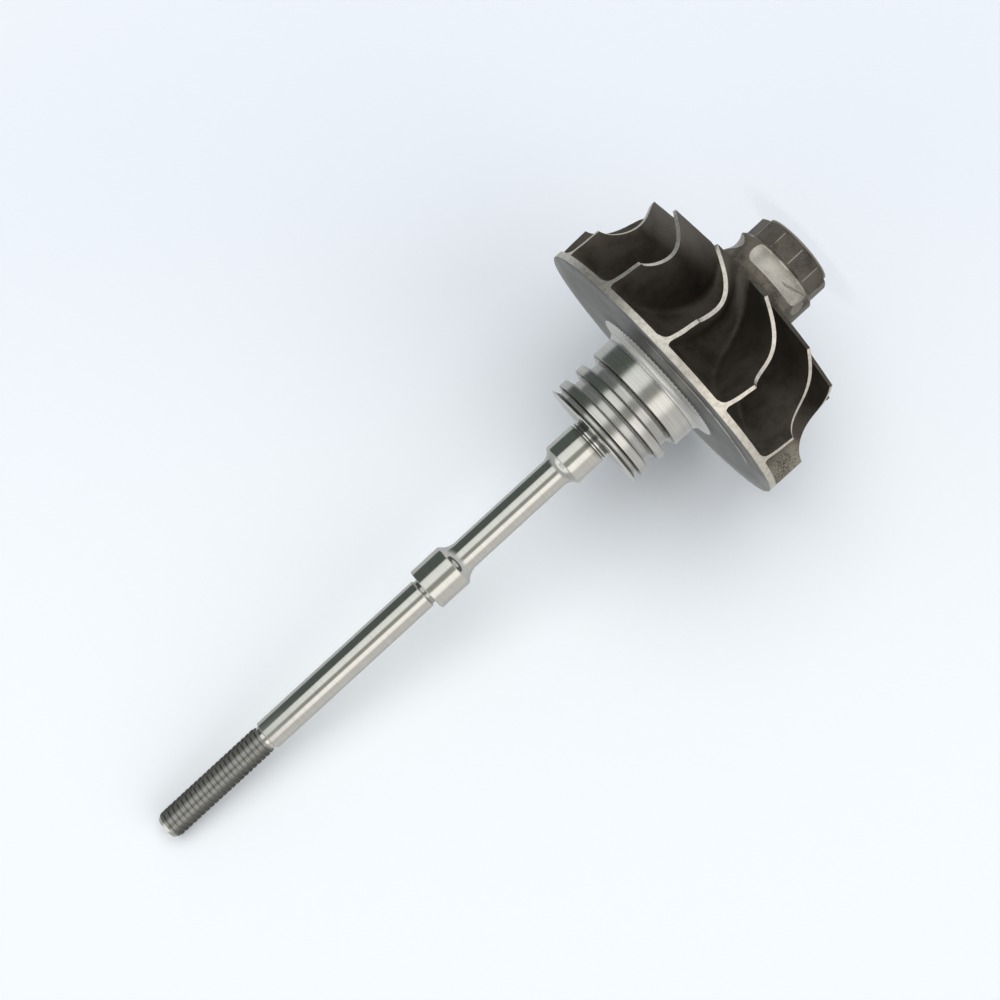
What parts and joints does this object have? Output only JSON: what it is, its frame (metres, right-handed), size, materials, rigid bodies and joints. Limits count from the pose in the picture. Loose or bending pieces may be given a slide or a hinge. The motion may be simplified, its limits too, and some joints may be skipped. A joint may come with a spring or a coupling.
{
  "type": "turbine shaft wheel",
  "caption": "Radial turbine wheel with twisted blades on a long stepped shaft with seal grooves, bearing journals and a threaded end.",
  "frame": {"origin": "centre of the nose's end face, at the end away from the thread; the part stands on it", "axes": "+Z along the shaft from the nose to the threaded tip; X and Y are the two radial directions, with -Y towards the side that the picture shows"},
  "size_m": [0.052, 0.052, 0.141],
  "materials": {
    "cast_wheel": "matt cast nickel alloy with machined edges and back",
    "ground_steel": "turned and ground alloy steel"
  },
  "bodies": {
    "root": {"turbine_wheel": "cast_wheel", "shaft": "ground_steel"}
  },
  "joints": []
}
